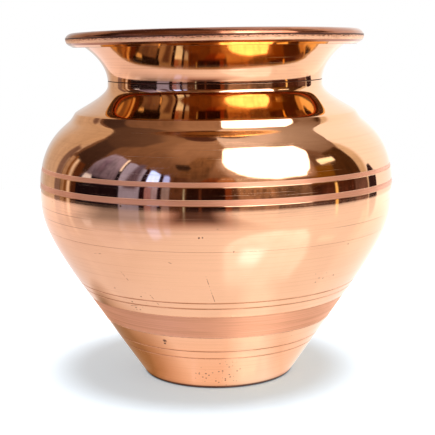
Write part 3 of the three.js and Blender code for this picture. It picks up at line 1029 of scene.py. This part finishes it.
def seen_by_camera(tree, away):
    """The table as the camera sees it: matt white, painted cooler close to the foot so that the warm light
    thrown off the copper leaves the pot's shadow grey, and a little light of its own that stops short of the
    foot's edge, which paints a dark contact edge there."""
    further = add(tree, "MapRange", away, 40 * MM, 85 * MM)
    # Painted: bluer near the foot, to take away the warm light that the copper throws on the table.
    paint = add(tree, "Mix RGBA", further, linear("#CBE3F6"), linear("#E3E4E6"))
    # The glow falls almost to nothing in a thin ring at the foot: a painted contact shade.
    lift = add(tree, "MapRange", away, 25.8 * MM, 26.6 * MM, 0.02, 0.465)
    own_light = add(tree, "Emission", studio().table, lift)
    return add(tree, "AddShader", add(tree, "BsdfDiffuse", paint), own_light)


def table_shades(tree, away):
    """The painted shade on the table's glow for the metal, from 0 to 1: a painted shadow of the pot, a
    painted shaded patch behind it, and painted shade on the ends of the table in front and on the left.
    Returns the shadow, the front and the darkest of all four."""
    shadow = scratch(tree, on_table(-30, -4), on_table(-54, 16), 31 * MM)
    behind = scratch(tree, on_table(-66, 50), on_table(-30, 190), 80 * MM)
    front = scratch(tree, on_table(-40, -200), on_table(-130, -600), 180 * MM)
    front = add(tree, "Math MULTIPLY", front, add(tree, "MapRange", away, 190 * MM, 360 * MM, 0, 0.9))
    left = scratch(tree, on_table(-200, -150), on_table(-420, -250), 260 * MM)
    left = add(tree, "Math MULTIPLY", left, add(tree, "MapRange", away, 160 * MM, 360 * MM, 0, 0.62))
    faded = add(tree, "Math MULTIPLY", shadow, 0.7), add(tree, "Math MULTIPLY", behind, 0.12)
    return shadow, front, highest(tree, *faded, front, left)


def seen_by_metal(tree, place, away):
    """The table as the copper shows it: a warm white that glows though it is no lamp, painted pinker and
    darker to the left, with a painted orange glow in the pot's painted shadow and round the foot, a painted
    glint in front of the foot, and painted shade where it is shaded. It glows less at the foot, a painted
    contact shade, and less for light that has already turned off the copper once, a painted shade of the pot."""
    side = add(tree, "SeparateXYZ", place, out="X")
    shadow, front, dark = table_shades(tree, away)
    # Painted shade: darker and pinker to the left.
    tone = add(tree, "MapRange", side, -120 * MM, 50 * MM)
    tone = add(tree, "Mix RGBA", tone, linear("#E9DEDF"), linear("#FFFAF8"))
    # Painted warm light thrown off the copper, in the pot's painted shadow and round the foot.
    warm = add(tree, "Math MULTIPLY", shadow, add(tree, "MapRange", away, 30 * MM, 100 * MM, 1, 0.2))
    tone = add(tree, "Mix RGBA", warm, tone, linear("#FFC078"))
    at_foot = add(tree, "MapRange", away, 27 * MM, 52 * MM, 0.4, 0)
    tone = add(tree, "Mix RGBA", at_foot, tone, linear("#FFB878"))
    # Painted shade far in front, tinted warm.
    tone = add(tree, "Mix RGBA", add(tree, "Math MULTIPLY", front, 0.8), tone, linear("#F0A890"))
    # A painted glint in front of the foot: whiter and brighter.
    glint = scratch(tree, on_table(15, -27), on_table(25, -52), 15 * MM)
    tone = add(tree, "Mix RGBA", glint, tone, (1.0, 1.0, 1.0))
    bright = add(tree, "MapRange", glint, 0, 1, 1.05, 1.16)
    # Painted shade: the glow falls to a tenth at the foot's edge, and to 0.4 for light that has already
    # turned off the copper once.
    beyond_foot = add(tree, "MapRange", away, 24.7 * MM, 27.5 * MM, 0.1, 1.0)
    first_turn = add(tree, "MapRange", add(tree, "LightPath", out="Ray Depth"), 1, 2, 1, 0.4)
    strength = add(tree, "MapRange", dark, 0, 1, 1, 0)
    for factor in (bright, beyond_foot, first_turn):
        strength = add(tree, "Math MULTIPLY", strength, factor)
    return add(tree, "Emission", warmed(tree, tone), strength)


# The table's coat as the copper shows it: a little blurred, and glossier than paint
COAT_ROUGHNESS = 0.13
COAT_IOR = 1.8


def table_top():
    """White table: matt to the camera, so that it keeps the pot's shadow. The metal sees it as a painted glow
    with a thin gloss, with painted shade in a painted shadow at the back left of the foot, far away in front
    and on the left, and under the foot."""
    material, tree = empty_material("white table top")
    place = add(tree, "TexCoord", out="Object")
    away = add(tree, "VectorMath LENGTH", place)
    # The coat shows light that has been warmed as by copper, so its own colour takes that away again.
    even = (1 / np.array(TWICE_OFF_COPPER)).tolist()
    coat = add(tree, "BsdfGlossy", even, COAT_ROUGHNESS)
    film = add(tree, "MixShader", add(tree, "Fresnel", COAT_IOR), None, coat)
    coated = add(tree, "AddShader", seen_by_metal(tree, place, away), film)
    seen = add(tree, "LightPath", out="Is Camera Ray")
    add(tree, "OutputMaterial", add(tree, "MixShader", seen, coated, seen_by_camera(tree, away)))
    return material


def hang_lamp():
    """A soft lamp high over the table, a little to the front right. It lights the table and makes the pot's
    shadow, and no reflection shows the lamp itself."""
    data = bpy.data.lights.new("table lamp", "SUN")
    data.energy, data.angle = studio().lamp, studio().lamp_spread
    lamp = bpy.data.objects.new("table lamp", data)
    lamp.rotation_euler = (studio().lamp_front, studio().lamp_right, 0)
    lamp.visible_glossy = False
    bpy.context.scene.collection.objects.link(lamp)


# The camera's sensor in millimetres, and how near it sees
SENSOR_WIDTH = 36
NEAREST = 10 * MM


def place_camera():
    """The camera looks along +Y from the front, tilted down and leaning a little to its left."""
    p = studio()
    tilt, roll = p.camera_tilt, p.camera_roll
    right = np.array([1, 0, 0])
    up = np.array([0, math.sin(tilt), math.cos(tilt)])
    ahead = np.array([0, math.cos(tilt), -math.sin(tilt)])
    side = math.cos(roll) * right - math.sin(roll) * up
    top = math.sin(roll) * right + math.cos(roll) * up
    data = bpy.data.cameras.new("camera")
    data.lens, data.sensor_width, data.clip_start = p.lens, SENSOR_WIDTH, NEAREST
    camera = bpy.data.objects.new("camera", data)
    bpy.context.scene.collection.objects.link(camera)
    matrix = Matrix(np.stack([side, top, -ahead], 1).tolist()).to_4x4()
    matrix.translation = (p.camera_side, -p.camera_reach, p.camera_height)
    camera.matrix_world = matrix
    bpy.context.scene.camera = camera


TABLE_AROUND = 128
TABLE_DROP = 0.02 * MM


def lay_table():
    """A round table: (r cos a, r sin a, -0.02 mm) for r from almost 0 to its radius. It lies that little
    below the foot, so that the two faces don't share a plane."""
    turn = np.linspace(0, 2 * math.pi, TABLE_AROUND + 1)[:-1]
    rings = np.array([0.0001, 0.25, 0.5, 0.75, 1])[:, None] * studio().table_radius
    height = np.full((len(rings), len(turn)), -TABLE_DROP)
    points = np.stack([rings * np.cos(turn), rings * np.sin(turn), height], -1).reshape(-1, 3)
    quads = grid_quads(len(rings), TABLE_AROUND, False, True)[:, TURNED_ROUND]
    up = np.tile([0.0, 0.0, 1.0], (len(points), 1))
    fill_mesh("table", points, quads, up, np.zeros(len(quads), int), [table_top()])


def set_world():
    """White to the camera and to what the metal reflects, and an even fill for the table's own light."""
    world = bpy.data.worlds.new("studio")
    world.use_nodes = True
    tree = world.node_tree
    tree.nodes.clear()
    kinds = ("Is Camera Ray", "Is Glossy Ray", "Is Transmission Ray")
    seen = highest(tree, *(add(tree, "LightPath", out=kind) for kind in kinds))
    light = add(tree, "Background", (1, 1, 1), add(tree, "MapRange", seen, 0, 1, studio().fill, 1.0))
    add(tree, "OutputWorld", light)
    bpy.context.scene.world = world
    bpy.context.scene.view_settings.view_transform = "Standard"


class POT_OT_studio(bpy.types.Operator):
    """Sets up the camera, the white table, the room that the copper reflects and the light"""

    bl_idname = "pot.studio"
    bl_label = "Studio"

    def execute(self, context):
        place_camera()
        lay_table()
        hang_lamp()
        build_room()
        set_world()
        return {"FINISHED"}


# Pieces


def sheet_materials(buffed):
    """The materials of a piece of sheet, in the order of its finishes."""
    turned_work = (belly_band_copper, inside_copper, torn_edge, groove_and_foot_shade_copper, line_copper)
    return [shared(make) for make in (buffed, *turned_work, browned_rim, burnished_face, matt_band_copper)]


def outside_finish(s, face):
    """The finish of each stretch of the body's outside: satin in the bands, tarnished in the turned lines,
    dark with a painted contact shade where the pot stands, buffed elsewhere."""
    middle = (face[:, 1] + np.r_[face[1:, 1], face[-1, 1]]) / 2
    finish = np.full(len(face), BUFFED)
    for low, high in satin_bands(s):
        kind = MATT if high < s.belly_height else BAND
        finish[(middle > low + s.band_flank / 2) & (middle < high - s.band_flank / 2)] = kind
    for height in TURNED_LINES:
        finish[np.abs(middle - height * MM) < s.line_width / 2] = LINE
    # The bottom of the foot gets the dark finish as a painted contact shade.
    finish[middle < SHADED_FOOT_EDGE_TOP] = GROOVE_AND_FOOT_SHADE
    return finish


class POT_OT_lower_bowl(bpy.types.Operator):
    """Makes the lower bowl, from the foot ring to the seam under the belly"""

    bl_idname = "pot.lower_bowl"
    bl_label = "Lower Bowl"

    def execute(self, context):
        s = sizes()
        outside = stretch(finished_face(s), -math.inf, seam_height(s))
        inside = stretch(offset(body_face(s), s.body_sheet), -math.inf, seam_height(s))[::-1]
        finish = np.r_[outside_finish(s, outside), np.full(len(inside), RAW)]
        outline = np.vstack([outside, inside])
        piece = turned_piece("lower_bowl_sheet", outline, finish, sheet_materials(bowl_copper))
        finish_piece(piece, "polished_copper", "lower_bowl")
        return {"FINISHED"}


class POT_OT_upper_bowl(bpy.types.Operator):
    """Makes the upper bowl, whose stepped lip lies inside the lower bowl"""

    bl_idname = "pot.upper_bowl"
    bl_label = "Upper Bowl"

    def execute(self, context):
        s = sizes()
        plain, seam, mouth = body_face(s), seam_height(s), mouth_height(s)
        lip_foot = seam - s.lap_depth
        lip_outside = stretch(offset(plain, s.body_sheet + s.braze_gap), lip_foot, seam)
        outside = stretch(finished_face(s), seam, mouth)
        inside = stretch(offset(plain, s.body_sheet), seam + 2 * s.joggle_rise, mouth)[::-1]
        lip_face = offset(plain, 2 * s.body_sheet + s.braze_gap)
        lip_inside = stretch(lip_face, lip_foot, seam + s.joggle_rise)[::-1]
        rest = np.full(len(inside) + len(lip_inside), RAW)
        finish = np.r_[np.full(len(lip_outside), RAW), outside_finish(s, outside), rest]
        outline = np.vstack([lip_outside, outside, inside, lip_inside])
        outline, finish = chamfered(outline, finish, outside[-1], s.joint_ease)
        ridge = point(s.neck_radius + s.cove_reach, shoulder_height(s) + s.ridge_rise)
        on_ridge = np.linalg.norm(outline - ridge, axis=1) < s.corner_ease
        ease = np.where(on_ridge, s.ridge_ease, s.corner_ease)
        piece = turned_piece("upper_bowl_sheet", outline, finish, sheet_materials(bowl_copper), ease)
        finish_piece(piece, "polished_copper", "upper_bowl")
        return {"FINISHED"}


def bead_places(s):
    """The rolled rim's centre, its hollow's half width and half height, and the flare's end."""
    half_height = s.wire_radius + s.wire_clearance
    half_width = half_height + s.bead_slack
    rim_radius, rim_height = s.neck_radius + s.rim_reach, mouth_height(s) + s.collar_rise
    centre = point(rim_radius - s.body_sheet - half_width, rim_height - s.body_sheet - half_height)
    flare_end = centre - (half_width + s.flare_inset, half_height + s.body_sheet - s.flare_tuck)
    return centre, half_width, half_height, flare_end


FLARE_STEPS, ROLL_STEPS, BEAD_STEPS = 48, 10, 80
# Where the rolled rim's smooth underside ends, in degrees round the roll's middle
UNDERSIDE_END = -83
# How far the curled edge wavers, and what counts as its face
CURL_WAVER, CURL_FACE = 0.12 * MM, 0.1 * MM
# The spigot is left raw up to this height above the seat.
RAW_ABOVE_SEAT = 0.5 * MM


class POT_OT_neck_collar(bpy.types.Operator):
    """Makes the neck, with its flare and its rolled rim"""

    bl_idname = "pot.neck_collar"
    bl_label = "Neck Collar"

    def execute(self, context):
        s = sizes()
        seat, centre = point(s.neck_radius, mouth_height(s)), bead_places(s)[0]
        outside, outside_kinds = self.outside(s, seat)
        skin, skin_kinds = self.skin(s, offset(outside, s.body_sheet))
        skin_kinds[skin[:, 1] < seat[1] + RAW_ABOVE_SEAT] = RAW
        outline = np.vstack([outside, skin[::-1]])
        finish = np.r_[outside_kinds, np.roll(skin_kinds[::-1], -1)]
        outline, finish = chamfered(outline, finish, seat, s.joint_ease)
        curled = (np.abs(outline[:, 0] - outside[-1, 0]) < CURL_FACE) & (outline[:, 1] < centre[1])
        waver = np.where(curled, CURL_WAVER, 0)
        piece = turned_piece("neck_collar_sheet", outline, finish, sheet_materials(neck_copper), waver=waver)
        finish_piece(piece, "polished_copper", "neck_collar")
        return {"FINISHED"}

    def outside(self, s, seat):
        """The side that the wire lies against, in order: the spigot, the flare, the roll over the wire and
        the curled edge, and the finish of each stretch."""
        centre, half_width, half_height, flare_end = bead_places(s)
        spigot = seat - (s.body_sheet + s.braze_gap, 0) - np.array([[0, s.spigot_depth], [0, 0]])
        flare = sweep(seat, 0, s.seat_pull, flare_end, s.flare_lean, s.flare_pull, FLARE_STEPS)
        roll_start = point(centre[0] - half_width, centre[1])
        roll = sweep(flare_end, s.flare_lean, s.roll_pull, roll_start, 0, s.roll_pull, ROLL_STEPS)
        bead = arc(centre, half_width, half_height, math.pi, -math.pi / 2, BEAD_STEPS)
        curl = point(flare_end[0] + s.curl_gap, centre[1] - half_height)[None]
        outside = joined(spigot, flare, roll, bead, curl)
        kinds = np.full(len(outside), BUFFED)
        kinds[:2] = RAW, GROOVE_AND_FOOT_SHADE
        kinds[-len(bead) :] = RAW
        return outside, kinds

    def skin(self, s, skin):
        """The side that shows, with the rim's outer face in place of the plain roll, and its finishes."""
        centre, _, _, flare_end = bead_places(s)
        angle = np.degrees(np.arctan2(skin[:, 1] - centre[1], skin[:, 0] - centre[0]))
        rolled = (skin[:, 0] > centre[0]) & (skin[:, 1] > flare_end[1] - s.body_sheet)
        faces, face_kinds = self.rim_faces(s)
        last = np.where(rolled & (skin[:, 1] > faces[0, 1]))[0][-1] + 1
        first = np.where(rolled & (angle > UNDERSIDE_END))[0][-1] + 1
        top_kinds = np.where(skin[:last, 0] > centre[0], BROWNED, BUFFED)
        kinds = np.r_[top_kinds, face_kinds, np.full(len(skin) - first, GROOVE_AND_FOOT_SHADE)]
        return np.vstack([skin[:last], faces, skin[first:]]), kinds

    def rim_faces(self, s):
        """The rim's notch, torn edge, burnished face, brown stain and underside, from above: how far each
        point lies in from the rim's radius and below its top, and the finish from each point on."""
        notch = s.notch_drop
        inset_and_drop = [
            (0.04 * MM, notch - 0.28 * MM),
            (s.notch_depth, notch),
            (0.05 * MM, notch + 0.22 * MM),
            (0.16 * MM, notch + 0.7 * MM),
            (s.rough_step, s.rough_drop),
            (s.stain_step, s.stain_drop),
            (s.under_step, s.under_drop),
        ]
        corner = point(s.neck_radius + s.rim_reach, mouth_height(s) + s.collar_rise)
        kinds = np.array([GROOVE_AND_FOOT_SHADE, GROOVE_AND_FOOT_SHADE, EDGE, FACE, BROWNED, BUFFED, GROOVE_AND_FOOT_SHADE])
        return corner - np.array(inset_and_drop), kinds


WIRE_SIDES = 32


class POT_OT_rim_wire(bpy.types.Operator):
    """Makes the wire inside the rolled rim"""

    bl_idname = "pot.rim_wire"
    bl_label = "Rim Wire"

    def execute(self, context):
        s = sizes()
        section = arc(bead_places(s)[0], s.wire_radius, s.wire_radius, 0, 2 * math.pi, WIRE_SIDES)[:-1]
        piece = turned_piece("rim_wire_ring", section, np.zeros(len(section), int), [shared(wire_copper)])
        finish_piece(piece, "wire_copper", "rim_wire")
        return {"FINISHED"}


# The base plate's rings on each side, the dimple's radius and depth, and the hole that stands for its pole
DISC_RINGS = 20
DIMPLE_RADIUS, DIMPLE_DEPTH, POLE = 1.1 * MM, 0.3 * MM, 0.01 * MM


class POT_OT_base_disc(bpy.types.Operator):
    """Makes the plate in the foot, with the lathe centre's dimple on both sides"""

    bl_idname = "pot.base_disc"
    bl_label = "Base Disc"

    def execute(self, context):
        s = sizes()
        edge, low, high = foot_face(s)[1, 0] - s.braze_gap, s.body_sheet, s.body_sheet + s.disc_sheet
        spread = np.linspace(DIMPLE_RADIUS, edge, DISC_RINGS)
        underside = np.stack([spread, np.full(DISC_RINGS, low)], 1)
        topside = np.stack([spread[::-1], np.full(DISC_RINGS, high)], 1)
        poles = point(POLE, low + DIMPLE_DEPTH), point(POLE, high - DIMPLE_DEPTH)
        outline = np.vstack([poles[0], underside, topside, poles[1]])
        piece = turned_piece("base_disc_plate", outline, np.zeros(len(outline), int), [shared(plate_copper)])
        finish_piece(piece, "plate_copper", "base_disc")
        return {"FINISHED"}


# A fillet's free face: its steps, how much of the way to the corner it sags, and how far it wavers
FILLET_STEPS = 8
FILLET_SAG = 0.2
FILLET_WAVER = 0.08 * MM


class POT_OT_braze_fillets(bpy.types.Operator):
    """Makes the three fillets of filler: under the neck's spigot, under the belly's lap and round the base
    plate"""

    bl_idname = "pot.braze_fillets"
    bl_label = "Braze Fillets"

    def execute(self, context):
        s = sizes()
        wall = offset(body_face(s), s.body_sheet + s.braze_gap)
        spigot_edge = point(s.neck_radius - 2 * s.body_sheet - s.braze_gap, mouth_height(s) - s.spigot_depth)
        lip_face = offset(body_face(s), 2 * s.body_sheet + s.braze_gap)
        lip_edge = point_at(lip_face, seam_height(s) - s.lap_depth)
        for name, edge in (("neck_braze", spigot_edge), ("belly_braze", lip_edge)):
            side = stretch(wall, edge[1] - s.fillet_size, edge[1])
            self.make(name, np.vstack([side, edge]), side[-1])
        disc_top = s.body_sheet + s.disc_sheet
        disc_edge = point(foot_face(s)[1, 0] - s.braze_gap - s.fillet_size, disc_top)
        side = stretch(wall, disc_top, disc_top + s.fillet_size)
        self.make("base_braze", np.vstack([disc_edge, side]), side[0])
        return {"FINISHED"}

    def make(self, name, sides, corner):
        """A fillet whose outline runs along the two sides that it joins and back over its free face. That is
        hollow: it leaves the straight line by 4 t (1 - t) times a fifth of the way to the corner, and wavers
        as it flowed."""
        start, end = sides[-1], sides[0]
        t = np.linspace(0, 1, FILLET_STEPS + 1)[1:-1, None]
        free = start + t * (end - start) + 4 * t * (1 - t) * FILLET_SAG * (corner - (start + end) / 2)
        waver = np.r_[np.zeros(len(sides)), np.full(len(free), FILLET_WAVER)]
        outline = np.vstack([sides, free])
        plain = np.zeros(len(outline), int)
        piece = turned_piece(name + "_fillet", outline, plain, [shared(filler_metal)], waver=waver)
        finish_piece(piece, "braze_metal", name)


class POT_PT_panel(bpy.types.Panel):
    """Lists the pot's pieces and its studio"""

    bl_idname = "POT_PT_panel"
    bl_label = "Water Pot"
    bl_space_type = "VIEW_3D"
    bl_region_type = "UI"
    bl_category = "Water Pot"

    def draw(self, context):
        for step in STEPS:
            self.layout.operator(step.bl_idname)


STEPS = (
    POT_OT_studio,
    POT_OT_lower_bowl,
    POT_OT_upper_bowl,
    POT_OT_neck_collar,
    POT_OT_rim_wire,
    POT_OT_base_disc,
    POT_OT_braze_fillets,
)
GROUPS = {"pot_sizes": PotSizes, "pot_colours": PotColours, "pot_studio": StudioSettings}


def register():
    """Makes the settings, the operators and the panel known."""
    for group in GROUPS.values():
        bpy.utils.register_class(group)
    for name, group in GROUPS.items():
        setattr(bpy.types.Scene, name, bpy.props.PointerProperty(type=group))
    for step in STEPS:
        bpy.utils.register_class(step)
    bpy.utils.register_class(POT_PT_panel)


def unregister():
    """Takes them away again."""
    bpy.utils.unregister_class(POT_PT_panel)
    for step in reversed(STEPS):
        bpy.utils.unregister_class(step)
    for name in GROUPS:
        delattr(bpy.types.Scene, name)
    for group in reversed(GROUPS.values()):
        bpy.utils.unregister_class(group)


def main():
    """Makes every piece and the studio."""
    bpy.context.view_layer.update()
    register()
    for step in STEPS:
        family, name = step.bl_idname.split(".")
        getattr(getattr(bpy.ops, family), name)()


if __name__ == "__main__":
    main()
